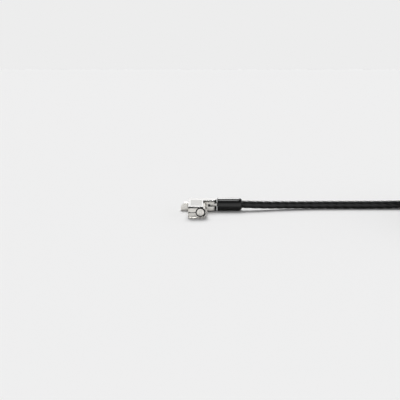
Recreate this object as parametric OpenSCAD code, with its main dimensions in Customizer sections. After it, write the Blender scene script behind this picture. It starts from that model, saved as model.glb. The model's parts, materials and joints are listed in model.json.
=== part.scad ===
// Laptop cable lock with a keyed barrel, a two-jaw locking nose and a swivelling steel cable.
// Sizes are millimetres. X runs to the right along the cable, Y runs back to the nose and Z is up.
// The places below are measured from the plug's axis, the barrel's front face and the base.

/* [Barrel] */
// Height of the barrel with its cover
barrel_height = 7.2; // [6.8:0.1:9]
// Distance from the plug's axis to the flat left side
barrel_left = 7.3; // [6.8:0.1:9]
// Distance from the plug's axis to the shoulder where the slanted sides begin
barrel_shoulder = 1.7; // [1.2:0.1:2]
// Distance from the plug's axis to the pointed right edge
barrel_tip = 4.0; // [3.9:0.1:5]
// Length of the barrel in front of the nose block
barrel_length = 19.3; // [19:0.1:24]
// Bevel along the left edges
edge_bevel = 0.3; // [0.1:0.05:0.6]
// Width of the flat rim round the front face
rim_width = 0.2; // [0.1:0.05:0.4]
// Width of the slope between the rim and the face
rim_slope = 0.4; // [0.2:0.05:0.5]
// Depth of the front face behind its rim
rim_depth = 0.6; // [0.3:0.05:0.7]
// Height of the joint between the two halves
parting_height = 3.45; // [3:0.05:4]
// Half the height of the groove along the joint
groove_half = 0.35; // [0.1:0.05:0.5]
// Depth of the groove along the joint
groove_depth = 0.7; // [0.1:0.05:0.8]

/* [Top cover] */
// Thickness of the cover plate
cover_thickness = 0.7; // [0.5:0.05:1]
// Height of the shadow line under the cover
shadow_height = 0.5; // [0.1:0.05:0.6]
// Depth of the shadow line under the cover
shadow_depth = 0.5; // [0.3:0.05:0.7]
// Bevel round the cover's upper edge
cover_bevel = 0.15; // [0.05:0.05:0.3]

/* [Lock cylinder] */
// Outer radius of the cylinder shell
shell_radius = 2.6; // [2.5:0.05:2.8]
// Wall of the cylinder shell
shell_wall = 0.35; // [0.25:0.05:0.45]
// Place of the guard ring's face behind the rim
ring_depth = 0.8; // [0.6:0.05:1]
// Length of the hardened guard ring
guard_length = 0.8; // [0.6:0.05:1]
// Width of the guard ring's flange
guard_flange = 0.25; // [0:0.05:0.25]
// Place of the plug's face behind the rim
plug_front = 0.2; // [0:0.05:0.5]
// Thickness of the plug's face
plug_face = 1.3; // [1:0.1:2]
// Wall of the plug round its discs
plug_wall = 0.5; // [0.4:0.05:0.55]
// Thickness of a code disc
disc_thickness = 1.35; // [1:0.05:1.4]
// Thickness of a spacer between discs
spacer_thickness = 0.45; // [0.3:0.05:0.5]
// Width of the keyway
keyway_width = 1.1; // [0.8:0.05:1.3]
// Height of the keyway
keyway_height = 2.3; // [2:0.1:2.4]
// Width of the sidebar
sidebar_width = 0.7; // [0.5:0.05:0.9]
// How far the sidebar sinks into the discs
gate_depth = 0.3; // [0.2:0.05:0.35]
// How far the sidebar rises into the shell
sidebar_lift = 0.3; // [0.2:0.05:0.35]
// Length of the keyway shutter
shutter_length = 3.6; // [2.5:0.1:4]

/* [Bolt work] */
// Travel of the locking blade for a quarter turn of the plug
blade_travel = 1.6; // [1.2:0.1:1.8]
// Sideways travel of each jaw
jaw_travel = 0.6; // [0.4:0.05:0.7]
// Thickness of the cam's disc
cam_disc = 0.7; // [0.5:0.1:1]
// Angle of each lug on the cam
lug_angle = 40; // [30:5:50]
// Radius of the blade's stem
stem_radius = 1.0; // [0.8:0.05:1.2]
// Thickness of the blade's follower disc
follower_disc = 0.6; // [0.4:0.1:1]
// Height of the blade's wedge
wedge_height = 2.2; // [1.6:0.1:2.4]

/* [Nose] */
// Height of the nose that enters the device's slot
nose_height = 2.6; // [2.2:0.1:2.8]
// Half the width of the neck with the jaws spread
neck_half = 3.35; // [3:0.05:3.45]
// Half the width of the hooks with the jaws spread
hook_half = 4.0; // [3.7:0.05:4.2]
// Length of the neck behind the contact pad
neck_length = 2.6; // [2:0.1:4]
// Length of the hooks
hook_length = 2.2; // [1.5:0.1:3]
// Height of the jaws' feet
jaw_foot_height = 3.5; // [3.1:0.1:3.7]

/* [Nose block] */
// Depth of the nose block from front to back
block_depth = 8.0; // [7.6:0.1:10]
// Length of the side lug
lug_length = 4.9; // [3:0.1:7]
// Depth of the side lug
lug_depth = 5.0; // [3:0.1:7]
// Height of the side lug
lug_height = 4.8; // [3:0.1:6]
// Bevel at the top of the side lug
lug_bevel = 2.2; // [0.5:0.1:3]
// Thickness of the nose plate
plate_thickness = 0.8; // [0.6:0.05:1]
// Thickness of the rubber contact pad
pad_thickness = 0.4; // [0.3:0.05:0.8]
// How far the pad stands proud of the block
pad_proud = 0.2; // [0.1:0.05:0.3]

/* [Clevis and link] */
// Distance from the plug's axis to the swivel pin
pin_place = 6.2; // [6.1:0.1:8]
// Radius of the swivel pin
pin_radius = 0.6; // [0.5:0.05:0.8]
// Height of the cable's axis over the base
cable_axis = 4.0; // [4:0.1:4.4]
// Height of the clevis' underside
clevis_foot = 0.6; // [0.3:0.1:1]
// Thickness of the link's tongue
tongue_thickness = 1.4; // [1:0.1:1.6]
// Half the width of the link's tongue
tongue_half = 1.3; // [1.1:0.05:1.5]
// Radius of the link's stud
stud_radius = 1.25; // [1:0.05:1.5]

/* [Collar and cable] */
// Radius of the collar
collar_radius = 4.0; // [3.8:0.1:4]
// Length of the collar
collar_length = 15.35; // [14:0.05:20]
// How far the rounding of the collar's far end goes in
collar_round = 1.4; // [0.5:0.1:1.4]
// Length of the rounding of the collar's far end
collar_round_length = 2.2; // [1:0.1:2.4]
// Diameter of the jacketed cable
cable_diameter = 5.0; // [4.5:0.1:5]
// Diameter of the stripped steel strand
core_diameter = 3.6; // [3:0.1:4]
// Length of the crimp ferrule in the collar
ferrule_length = 6.95; // [5:0.05:9]
// Wall of the double ferrule at the eye
eye_ferrule_wall = 0.8; // [0.5:0.1:1.2]
// Thickness of a coil tie
tie_thickness = 0.6; // [0.4:0.1:1]
// Width of a coil tie
tie_width = 8; // [5:1:12]

/* [Fits] */
// Radial gap of a shaft that turns in its bore
running_gap = 0.05; // [0.02:0.01:0.1]
// Gap between parts that slide on each other
sliding_gap = 0.05; // [0.03:0.01:0.1]
// Gap between parts that are pressed or fitted together
seat_gap = 0.02; // [0.01:0.01:0.05]
// Gap round parts that pass each other
free_gap = 0.15; // [0.1:0.05:0.25]

/* [Hidden] */
$fn = 64;
past = 1;

// Places along the barrel, from the front to the back.
axis_z = barrel_height / 2;
cover_z = barrel_height - cover_thickness;
shell_bore = shell_radius - shell_wall;
plug_radius = shell_bore - running_gap;
disc_bore = plug_radius - plug_wall;
disc_radius = disc_bore - sliding_gap;
disc_count = 5;
disc_pitch = disc_thickness + spacer_thickness;
discs_start = plug_front + plug_face;
discs_end = discs_start + disc_count * disc_pitch;
shell_start = ring_depth + guard_length;
seam_back = max(rim_depth + shadow_depth, ring_depth + 0.2);
flange_room = cover_z - axis_z - sliding_gap;
flange_radius = max(shell_radius, min(shell_radius + guard_flange, flange_room));
hub_length = 1.2;
hub_start = discs_end + sliding_gap;
clip_thickness = 0.3;
plug_end = hub_start + hub_length;
clip_start = plug_end - clip_thickness - sliding_gap;
shell_end = clip_start - sliding_gap;
cam_start = plug_end + sliding_gap;
cam_top = cam_start + cam_disc;

// The cam's lugs and the follower's ramps are parts of one screw surface.
quarter = 90;
rise_per_degree = blade_travel / quarter;
ramp_angle = quarter + lug_angle;
ramp_height = rise_per_degree * ramp_angle;
lug_foot = blade_travel + free_gap;
cam_radius = shell_radius - 0.2;
cam_hub = stem_radius + free_gap;
screw_edge = cam_radius - 0.1;
screw_run_out = 3;
follower_start = cam_top + lug_foot + ramp_height + sliding_gap;
follower_end = follower_start + follower_disc;
screw_steps = 10;

// The nose block behind the barrel.
block_start = barrel_length;
block_end = barrel_length + block_depth;
pin_y = block_start + block_depth / 2;
web_start = block_start + 1.3;
web_end = web_start + 0.8;
recess_depth = plate_thickness + pad_thickness - pad_proud;
plate_start = block_end - recess_depth;
pad_start = plate_start + plate_thickness;
seat_y = pad_start + pad_thickness;
window_half = neck_half + free_gap;
window_height = nose_height + 2 * free_gap;
cavity_half = neck_half + free_gap;
cavity_height = jaw_foot_height + 2 * sliding_gap;
plate_left = -6.7;
plate_right = 4.2;
plate_height = barrel_height - 2;
screw_x = -5.2;
screw_radius = 0.5;
screw_head = 0.9;
screw_heights = [axis_z - 1.4, axis_z + 1.4];
screw_end = block_start - 4;

// The jaws and the blade between them.
jaw_slope = jaw_travel / blade_travel;
jaw_gap = jaw_travel + sliding_gap;
foot_start = web_end + free_gap;
foot_end = plate_start - sliding_gap;
hook_start = seat_y + neck_length;
nose_end = hook_start + hook_length;
hook_nose = 1.1;
wedge_start = web_end + blade_travel + free_gap;
wedge_end = foot_end - 0.3;
function jaw_inner(y) = jaw_gap + jaw_slope * max(0, foot_end - y);

// The clevis, the link and the collar.
ear_radius = block_depth / 2;
neck_start = pin_place + ear_radius + 0.1;
collar_start = neck_start + 0.15;
collar_end = collar_start + collar_length;
slot_half = tongue_thickness / 2 + 0.2;
slot_round = slot_half;
tongue_corner = sqrt(slot_round * slot_round - pow(tongue_thickness / 2, 2));
slot_left = pin_place - tongue_half - free_gap + tongue_corner;
lip_length = 1.6;
washer_thickness = 0.5;
washer_start = collar_start + lip_length + sliding_gap;
stud_head = 1.4;
stud_head_radius = 2.6;
head_start = washer_start + washer_thickness + sliding_gap;
head_end = head_start + stud_head;
ferrule_start = head_end + 0.8;
ferrule_end = ferrule_start + ferrule_length;
ferrule_radius = 3.1;
cable_bore = cable_diameter / 2 + free_gap;

// The dowels stand through both halves, beside the bore.
dowel_x = -5.3;
dowel_radius = 0.55;
dowel_places = [4.5, 10.5];
dowel_foot = 0.9;

// The object without its cable is centred over the origin.
left_end = -barrel_left - lug_length;
mid_x = (left_end + collar_end) / 2;
mid_y = nose_end / 2;

// The cable lies in these routes. Their points belong to the real sizes above.
cable_start = 22;
coil_x = 162;
coil_y = -3.25;
coil_foot = 0.8;
coil_radius = 33;
coil_pitch = 5.5;
turns_per_layer = 2;
coil_turns = 8.5;
loop_rings = 24;
coil_z = coil_foot + cable_diameter / 2;
eye_z = coil_z + 5 * coil_pitch;
eye_bend = 15;
throat_bend = 20;
eye_mouth = 168;
eye_stub = 2;
eye_ferrule_start = 157;
strand_upper = 6.5;
strand_lower = 1;
run_route = [
    [cable_start, 23.3, 4], [27, 23.3, 4], [34, 23.8, 3.65], [43, 25.2, 3.2],
    [53, 26.8, 2.9], [64, 28, 2.7], [78, 28.9, 2.6], [94, 29.3, 2.55],
    [110, 29.4, 2.55], [123, 29.5, 2.65], [134, 29.6, 2.8], [144, 29.7, 3.1],
    [152, 29.75, 3.3], [157, 29.75, 3.3]
];
tail_route = [
    [157, -33.5, 25.3], [155, -33.5, 25.3], [148.8, -32.5, 25.4], [143.2, -29.7, 25.9],
    [138.8, -25.3, 26.7], [136, -19.7, 27.6], [135, -13.5, 28.6], [136, -7.3, 29.4],
    [138.8, -1.7, 30.1], [143.2, 2.7, 30.6], [148.8, 5.5, 30.8], [155, 6.5, 30.8],
    [157, 6.5, 30.8]
];

// ---------------------------------------------------------------- helpers

module placed() {
    translate([-mid_x, -mid_y, 0]) children();
}

// Extrudes a shape drawn in X and Z from y0 to y1.
module along_y(y0, y1) {
    translate([0, y1, 0]) rotate([90, 0, 0]) linear_extrude(y1 - y0) children();
}

// A round bar along Y on the plug's axis.
module rod_y(radius, y0, y1, x = 0, z = axis_z) {
    translate([x, y0, z]) rotate([-90, 0, 0]) cylinder(r = radius, h = y1 - y0);
}

// A round bar along X on the cable's axis.
module rod_x(radius, x0, x1) {
    translate([x0, pin_y, cable_axis]) rotate([0, 90, 0]) cylinder(r = radius, h = x1 - x0);
}

module ring_y(outer, inner, y0, y1) {
    difference() {
        rod_y(outer, y0, y1);
        rod_y(inner, y0 - past, y1 + past);
    }
}

// A box between two corners.
module block(low, high) {
    translate(low) cube(high - low);
}

// The barrel's section in X and Z, drawn in by the given amount.
function section(inset) =
    let (
        rise = barrel_height / 2,
        reach = barrel_tip - barrel_shoulder,
        side = sqrt(rise * rise + reach * reach),
        back = inset * (1 - reach / side) / (rise / side),
        tip = barrel_tip - inset / (rise / side),
        left = -barrel_left + inset,
        top = barrel_height - inset
    )
    [
        [left, inset + edge_bevel], [left + edge_bevel, inset], [barrel_shoulder - back, inset],
        [tip, axis_z], [barrel_shoulder - back, top],
        [left + edge_bevel, top], [left, top - edge_bevel]
    ];

// What sets the front face back. Its wall slopes in from the flat rim.
module face_recess() {
    lead = 0.2;
    mouth = section(rim_width - rim_slope * lead / rim_depth);
    face = section(rim_width + rim_slope);
    last = len(mouth) - 1;
    polyhedron(
        concat([for (p = mouth) [p[0], -lead, p[1]]], [for (p = face) [p[0], rim_depth, p[1]]]),
        concat(
            [[for (i = [0:last]) last - i], [for (i = [0:last]) last + 1 + i]],
            [for (i = [0:last]) let (n = i < last ? i + 1 : 0) [i, n, last + 1 + n, last + 1 + i]]
        )
    );
}

// The part of the barrel between two heights, with its front face set back behind a rim.
module barrel_slice(z0, z1, inset = 0) {
    intersection() {
        difference() {
            along_y(0, barrel_length) polygon(section(inset));
            face_recess();
        }
        block([-20, -past, z0], [20, 40, z1]);
    }
}

// What both halves of the barrel leave free.
module barrel_cuts() {
    rod_y(shell_radius + seat_gap, -past, barrel_length + past);
    rod_y(flange_radius + seat_gap, -past, seam_back);
    block(
        [-barrel_left + rim_width + rim_slope, -past, parting_height - groove_half],
        [0, rim_depth + groove_depth, parting_height + groove_half]
    );
    block(
        [-barrel_left - past, seam_back, parting_height - groove_half],
        [-barrel_left + groove_depth, barrel_length + past, parting_height + groove_half]
    );
    for (y = dowel_places)
        translate([dowel_x, y, dowel_foot]) cylinder(r = dowel_radius + seat_gap, h = barrel_height);
    for (z = screw_heights)
        rod_y(screw_radius + seat_gap, screw_end - 0.3, barrel_length + past, screw_x, z);
}

// The outline of the cover and of the block in X and Y.
module top_plan(inset = 0) {
    translate([-barrel_left + inset, inset])
        square([barrel_left + barrel_shoulder - 2 * inset, block_end - 2 * inset]);
    block_plan(inset);
}

module block_plan(inset = 0) {
    translate([-barrel_left + inset, block_start + inset])
        square([barrel_left + pin_place - inset, block_depth - 2 * inset]);
    translate([pin_place, pin_y]) circle(r = ear_radius - inset);
}

// A sector of a ring about the plug's axis whose top rises as a screw surface.
// Angles run clockwise from the top, as seen from the front.
function screw_point(radius, angle, y) = [radius * sin(angle), y, axis_z + radius * cos(angle)];

module screw_sector(inner, outer, from, to, y_flat, y_from, y_to) {
    steps = [for (i = [0:screw_steps]) i / screw_steps];
    points = [
        for (s = steps)
            let (a = from + (to - from) * s, y = y_from + (y_to - y_from) * s)
            each [
                screw_point(inner, a, y_flat), screw_point(outer, a, y_flat),
                screw_point(outer, a, y), screw_point(inner, a, y)
            ]
    ];
    last = 4 * screw_steps;
    sides = [
        for (i = [0:screw_steps - 1])
            for (k = [0:3])
                let (a = 4 * i + k, b = 4 * i + (k + 1) % 4)
                each [[a, b, b + 4], [a, b + 4, a + 4]]
    ];
    ends = [[0, 3, 2], [0, 2, 1], [last, last + 1, last + 2], [last, last + 2, last + 3]];
    upward = y_from + y_to > 2 * y_flat;
    faces = concat(sides, ends);
    polyhedron(points, upward ? faces : [for (f = faces) [f[0], f[2], f[1]]]);
}

// Sweeps a round tube along points. Its rings stand square to the path.
function unit(v) = v / norm(v);
function heading(path, i) =
    i == 0 ? unit(path[1] - path[0])
    : i == len(path) - 1 ? unit(path[i] - path[i - 1])
    : unit(unit(path[i] - path[i - 1]) + unit(path[i + 1] - path[i]));
function ring_at(path, i, radius, sides) =
    let (
        t = heading(path, i),
        across = unit(cross(t, [0, 0, 1])),
        up = cross(across, t)
    )
    [
        for (k = [0:sides - 1])
            path[i] + radius * (cos(360 * k / sides) * up + sin(360 * k / sides) * across)
    ];

module tube(path, radius, sides) {
    rings = len(path);
    points = [for (i = [0:rings - 1]) each ring_at(path, i, radius, sides)];
    walls = [
        for (i = [0:rings - 2])
            for (k = [0:sides - 1])
                let (a = i * sides + k, b = i * sides + (k + 1) % sides)
                each [[a, a + sides, b + sides], [a, b + sides, b]]
    ];
    first = [for (k = [1:sides - 2]) [0, k, k + 1]];
    end = (rings - 1) * sides;
    last = [for (k = [1:sides - 2]) [end, end + k + 1, end + k]];
    polyhedron(points, concat(walls, first, last));
}

// A compression spring about the Y axis, as one closed tube.
module spring_y(radius, wire, turns, y0, y1, rings_per_turn, sides) {
    count = turns * rings_per_turn;
    path = [
        for (i = [0:count])
            let (a = 360 * i / rings_per_turn)
            [radius * cos(a), radius * sin(a), wire / 2 + (y1 - y0 - wire) * i / count]
    ];
    translate([0, y0, axis_z]) rotate([-90, 0, 0]) tube(path, wire / 2, sides);
}

// ---------------------------------------------------------------- barrel

module body_lower() {
    color("silver") placed() difference() {
        barrel_slice(0, parting_height);
        barrel_cuts();
    }
}

module body_upper() {
    color("silver") placed() difference() {
        union() {
            barrel_slice(parting_height, cover_z - shadow_height);
            barrel_slice(cover_z - shadow_height, cover_z, shadow_depth);
        }
        block([-20, -past, cover_z - shadow_height], [20, seam_back, barrel_height]);
        barrel_cuts();
    }
}

module top_cover() {
    color("gainsboro") placed() translate([0, 0, cover_z]) {
        linear_extrude(cover_thickness - cover_bevel) top_plan();
        linear_extrude(cover_thickness) top_plan(cover_bevel);
    }
}

module dowel_pins() {
    color("slategray") placed() for (y = dowel_places)
        translate([dowel_x, y, dowel_foot])
            cylinder(r = dowel_radius, h = cover_z - dowel_foot - sliding_gap);
}

// ---------------------------------------------------------------- lock cylinder

module guard_ring() {
    color("dimgray") placed() {
        ring_y(shell_radius, shell_bore, ring_depth, shell_start - seat_gap);
        ring_y(flange_radius, shell_bore, ring_depth, seam_back - seat_gap);
    }
}

module cylinder_shell() {
    color("darkgray") placed() difference() {
        ring_y(shell_radius, shell_bore, shell_start, shell_end);
        for (turn = [0, quarter])
            translate([0, 0, axis_z]) rotate([0, turn, 0])
                block(
                    [-sidebar_width / 2 - sliding_gap, discs_start - sliding_gap, 0],
                    [sidebar_width / 2 + sliding_gap, discs_end + sliding_gap, shell_radius + past]
                );
    }
}

module plug_core() {
    color("lightgray") placed() difference() {
        rod_y(plug_radius, plug_front, plug_end);
        rod_y(disc_bore, discs_start, plug_end + past);
        block(
            [-keyway_width / 2, -past, axis_z - keyway_height / 2],
            [keyway_width / 2, discs_start + past, axis_z + keyway_height / 2]
        );
        block(
            [-sidebar_width / 2 - sliding_gap, discs_start, axis_z],
            [sidebar_width / 2 + sliding_gap, discs_end, axis_z + plug_radius + past]
        );
        ring_y(
            plug_radius + past, plug_radius - 0.2,
            clip_start - sliding_gap / 2, clip_start + clip_thickness + sliding_gap / 2
        );
    }
}

module keyway_hole(y0, y1) {
    block(
        [-keyway_width / 2, y0, axis_z - keyway_height / 2],
        [keyway_width / 2, y1, axis_z + keyway_height / 2]
    );
}

// A code disc has the keyway, the gate for the sidebar and one shallow false gate.
module code_disc(index, false_gate) {
    start = discs_start + index * disc_pitch;
    end = start + disc_thickness;
    color("goldenrod") placed() difference() {
        rod_y(disc_radius, start, end);
        keyway_hole(start - past, end + past);
        for (gate = [[0, gate_depth + sliding_gap], [false_gate, gate_depth / 2]])
            translate([0, 0, axis_z]) rotate([0, gate[0], 0])
                block(
                    [-sidebar_width / 2 - sliding_gap, start - past, disc_radius - gate[1]],
                    [sidebar_width / 2 + sliding_gap, end + past, disc_radius + past]
                );
    }
}

module code_disc_1() {
    code_disc(0, 60);
}

module code_disc_2() {
    code_disc(1, 130);
}

module code_disc_3() {
    code_disc(2, -75);
}

module code_disc_4() {
    code_disc(3, 95);
}

module code_disc_5() {
    code_disc(4, -120);
}

module disc_spacers() {
    gate_foot = axis_z + disc_radius - gate_depth - sliding_gap;
    color("tan") placed() for (i = [0:disc_count - 1]) {
        start = discs_start + i * disc_pitch + disc_thickness + seat_gap;
        end = discs_start + (i + 1) * disc_pitch - seat_gap;
        difference() {
            rod_y(disc_radius, start, end);
            keyway_hole(start - past, end + past);
            block(
                [-sidebar_width / 2 - sliding_gap, start - past, gate_foot],
                [sidebar_width / 2 + sliding_gap, end + past, axis_z + disc_radius + past]
            );
        }
    }
}

module sidebar() {
    foot = axis_z + disc_radius - gate_depth;
    top = axis_z + shell_radius - sidebar_lift - sliding_gap - 0.05;
    color("steelblue") placed() block(
        [-sidebar_width / 2, shell_start + sliding_gap, foot],
        [sidebar_width / 2, discs_end - sliding_gap, top]
    );
}

module keyway_shutter() {
    half_width = keyway_width / 2 - sliding_gap;
    half_height = keyway_height / 2 - sliding_gap;
    color("gray") placed() block(
        [-half_width, plug_front + sliding_gap, axis_z - half_height],
        [half_width, plug_front + shutter_length, axis_z + half_height]
    );
}

module shutter_spring() {
    color("lightsteelblue") placed()
        spring_y(0.35, 0.2, 9, plug_front + shutter_length + seat_gap, hub_start - seat_gap, 8, 4);
}

module plug_clip() {
    color("black") placed() difference() {
        ring_y(shell_radius - 0.1, plug_radius - 0.2 + seat_gap, clip_start, clip_start + clip_thickness);
        block([-1, clip_start - past, axis_z - 4], [1, clip_start + past, axis_z]);
    }
}

// ---------------------------------------------------------------- bolt work

module face_cam() {
    color("peru") placed() {
        rod_y(disc_bore - seat_gap, hub_start, cam_start + seat_gap);
        rod_y(cam_radius, cam_start, cam_top);
        for (start = [0, 180])
            screw_sector(
                cam_hub, screw_edge, start, start + lug_angle,
                cam_top - cam_disc / 2, cam_top + lug_foot, cam_top + lug_foot + rise_per_degree * lug_angle
            );
    }
}

module locking_blade() {
    wide = jaw_inner(wedge_start) - sliding_gap;
    narrow = jaw_inner(wedge_end) - sliding_gap;
    color("cadetblue") placed() {
        rod_y(cam_radius, follower_start, follower_end);
        for (start = [0, 180])
            screw_sector(
                cam_hub, screw_edge, start, start + ramp_angle + screw_run_out,
                follower_start + follower_disc / 2, follower_start - ramp_height,
                follower_start + rise_per_degree * screw_run_out
            );
        rod_y(stem_radius, follower_end - follower_disc / 2, wedge_start + 0.4);
        translate([0, 0, axis_z - wedge_height / 2]) linear_extrude(wedge_height)
            polygon([
                [-wide, wedge_start], [wide, wedge_start],
                [narrow, wedge_end], [-narrow, wedge_end]
            ]);
    }
}

module blade_spring() {
    color("lightsteelblue") placed()
        spring_y(1.65, 0.5, 3, follower_end + seat_gap, web_start - seat_gap, 12, 6);
}

// The right jaw with the jaws spread. Its foot is higher than the window, so it can't fall out.
module jaw() {
    foot_corner = jaw_inner(foot_start);
    translate([0, 0, axis_z - jaw_foot_height / 2]) linear_extrude(jaw_foot_height)
        polygon([
            [foot_corner, foot_start], [neck_half, foot_start],
            [neck_half, foot_end], [jaw_inner(foot_end), foot_end]
        ]);
    translate([0, 0, axis_z - nose_height / 2]) linear_extrude(nose_height)
        polygon([
            [jaw_inner(foot_end - past), foot_end - past], [neck_half, foot_end - past],
            [neck_half, hook_start], [hook_half, hook_start],
            [hook_half, nose_end - hook_nose], [hook_half - hook_nose, nose_end],
            [jaw_gap, nose_end], [jaw_gap, foot_end]
        ]);
}

module jaw_left() {
    color("silver") placed() mirror([1, 0, 0]) jaw();
}

module jaw_right() {
    color("silver") placed() jaw();
}

// ---------------------------------------------------------------- nose block

module nose_block() {
    color("silver") placed() difference() {
        union() {
            translate([0, 0, clevis_foot])
                linear_extrude(cover_z - shadow_height - clevis_foot) block_plan();
            translate([0, 0, clevis_foot])
                linear_extrude(cover_z - clevis_foot) block_plan(shadow_depth);
            block([-barrel_left, block_start, 0], [barrel_shoulder, block_end, clevis_foot + past]);
            along_y(block_end - lug_depth, block_end) polygon([
                [left_end, 0], [-barrel_left + past, 0], [-barrel_left + past, lug_height],
                [left_end + lug_bevel, lug_height], [left_end, lug_height - lug_bevel]
            ]);
        }
        rod_y(shell_radius - 0.2, block_start - past, web_start);
        rod_y(stem_radius + running_gap, block_start, web_end + past);
        block(
            [-cavity_half, web_end, axis_z - cavity_height / 2],
            [cavity_half, plate_start + past / 2, axis_z + cavity_height / 2]
        );
        block(
            [plate_left, plate_start, axis_z - plate_height / 2],
            [plate_right, block_end + past, axis_z + plate_height / 2]
        );
        for (z = screw_heights)
            rod_y(screw_radius + seat_gap, block_start - past, block_end, screw_x, z);
        translate([slot_left, block_start - past, cable_axis]) rotate([-90, 0, 0])
            cylinder(r = slot_round, h = block_depth + 2 * past);
        block(
            [slot_left, block_start - past, cable_axis - slot_half],
            [pin_place + ear_radius + past, block_end + past, cable_axis + slot_half]
        );
        translate([pin_place, pin_y, -past]) cylinder(r = pin_radius + seat_gap, h = barrel_height + past);
    }
}

module nose_plate() {
    color("gray") placed() difference() {
        block(
            [plate_left + seat_gap, plate_start, axis_z - plate_height / 2 + seat_gap],
            [plate_right - seat_gap, pad_start, axis_z + plate_height / 2 - seat_gap]
        );
        block(
            [-window_half, plate_start - past, axis_z - window_height / 2],
            [window_half, pad_start + past, axis_z + window_height / 2]
        );
        for (z = screw_heights) {
            rod_y(screw_radius + seat_gap, plate_start - past, pad_start + past, screw_x, z);
            rod_y(screw_head + seat_gap, pad_start - 0.4, pad_start + past, screw_x, z);
        }
    }
}

module contact_pad() {
    color("darkslategray") placed() difference() {
        block(
            [plate_left + seat_gap, pad_start, axis_z - plate_height / 2 + seat_gap],
            [plate_right - seat_gap, seat_y, axis_z + plate_height / 2 - seat_gap]
        );
        block(
            [-window_half, pad_start - past, axis_z - window_height / 2],
            [window_half, seat_y + past, axis_z + window_height / 2]
        );
    }
}

module rear_screws() {
    color("dimgray") placed() for (z = screw_heights) {
        rod_y(screw_radius, screw_end, pad_start - 0.2, screw_x, z);
        rod_y(screw_head, pad_start - 0.4, pad_start - seat_gap, screw_x, z);
    }
}

// ---------------------------------------------------------------- link and collar

module swivel_pin() {
    color("dimgray") placed() translate([pin_place, pin_y, clevis_foot])
        cylinder(r = pin_radius, h = cover_z - clevis_foot - sliding_gap);
}

module swivel_link() {
    color("silver") placed() {
        difference() {
            translate([0, 0, cable_axis - tongue_thickness / 2]) linear_extrude(tongue_thickness) {
                translate([pin_place, pin_y]) circle(r = tongue_half);
                translate([pin_place, pin_y - tongue_half])
                    square([collar_start - sliding_gap - pin_place, 2 * tongue_half]);
            }
            translate([pin_place, pin_y, 0]) cylinder(r = pin_radius + running_gap, h = barrel_height);
        }
        rod_x(stud_radius, neck_start, head_start + 0.2);
        rod_x(stud_head_radius, head_start, head_end);
    }
}

module thrust_washer() {
    color("goldenrod") placed() difference() {
        rod_x(stud_head_radius, washer_start, washer_start + washer_thickness);
        rod_x(stud_radius + seat_gap, washer_start - past, washer_start + washer_thickness + past);
    }
}

module collar() {
    near = 0.4;
    end = collar_length;
    arc = [
        for (a = [90:-15:0])
            [collar_radius - collar_round * (1 - sin(a)), end - collar_round_length * (1 - cos(a))]
    ];
    profile = concat(
        [
            [stud_radius + running_gap, 0], [collar_radius - near, 0], [collar_radius, near]
        ],
        arc,
        [
            [cable_bore, end], [cable_bore, ferrule_end - collar_start],
            [ferrule_radius, ferrule_end - collar_start], [ferrule_radius, lip_length],
            [stud_radius + running_gap, lip_length]
        ]
    );
    color([0.06, 0.06, 0.06]) placed() translate([collar_start, pin_y, cable_axis]) rotate([0, 90, 0])
        rotate_extrude() polygon(profile);
}

module crimp_ferrule() {
    color("darkgray") placed() difference() {
        rod_x(ferrule_radius - seat_gap, ferrule_start, ferrule_end - seat_gap);
        rod_x(core_diameter / 2 + seat_gap, ferrule_start + 0.6, ferrule_end + past);
    }
}

module wire_core() {
    color("slategray") placed()
        rod_x(core_diameter / 2, ferrule_start + 0.6 + seat_gap, ferrule_end - seat_gap);
}

// ---------------------------------------------------------------- cable

// The coil winds in and out by one pitch a turn, and climbs a layer where it turns back.
function wind(u) = let (v = u % (2 * turns_per_layer)) v < turns_per_layer ? v : 2 * turns_per_layer - v;
function eased(s) = let (c = min(1, max(0, s))) c * c * (3 - 2 * c);
function climb(u, from) = eased((u - from) * 2);
function layer(u) = climb(u, 1.75) + climb(u, 3.75) + climb(u, 5.75) + climb(u, 7.75);
function coil_point(u) =
    let (r = coil_radius - coil_pitch * wind(u), a = 90 - 360 * u)
    [coil_x + r * cos(a), coil_y + r * sin(a), coil_z + coil_pitch * layer(u)];
coil_last = coil_point(coil_turns);
coil_route = concat(
    [coil_point(0) - [cable_diameter, 0, 0]],
    [for (i = [0:coil_turns * loop_rings]) coil_point(i / loop_rings)],
    [coil_last - [cable_diameter, 0, 0]]
);
least_gap = min([
    for (i = [0:coil_turns * loop_rings - loop_rings / 2])
        for (j = [i + loop_rings / 2:coil_turns * loop_rings])
            norm(coil_point(i / loop_rings) - coil_point(j / loop_rings))
]) - cable_diameter;
echo(coil_gap = least_gap);

// The tail turns back over the coil. The eye goes out of the ferrule and back into it.
eye_middle = (strand_upper + strand_lower) / 2;
strand_half = (strand_upper - strand_lower) / 2;
throat_y = strand_half + throat_bend;
eye_centre = sqrt(pow(eye_bend + throat_bend, 2) - throat_y * throat_y);
throat_angle = asin(eye_centre / (eye_bend + throat_bend));
throat_steps = 4;
eye_steps = 18;
eye_arc = 180 + 2 * throat_angle;
eye_half = [
    for (i = [0:throat_steps])
        let (a = throat_angle * i / throat_steps)
        [throat_bend * sin(a), throat_y - throat_bend * cos(a)]
];
eye_round = [
    for (i = [1:eye_steps - 1])
        let (a = eye_arc / 2 - eye_arc * i / eye_steps)
        [eye_centre + eye_bend * cos(a), eye_bend * sin(a)]
];
eye_flat = concat(
    [[-eye_stub, strand_half]], eye_half, eye_round,
    [for (i = [throat_steps:-1:0]) [eye_half[i][0], -eye_half[i][1]]],
    [[-eye_stub, -strand_half]]
);
eye_route = [for (p = eye_flat) [eye_mouth + eye_stub + p[0], eye_middle + p[1], eye_z]];

module cable_run() {
    color([0.1, 0.1, 0.1]) placed() tube(run_route, cable_diameter / 2, 8);
}

module cable_coil() {
    color([0.1, 0.1, 0.1]) placed() tube(coil_route, cable_diameter / 2, 6);
}

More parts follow.
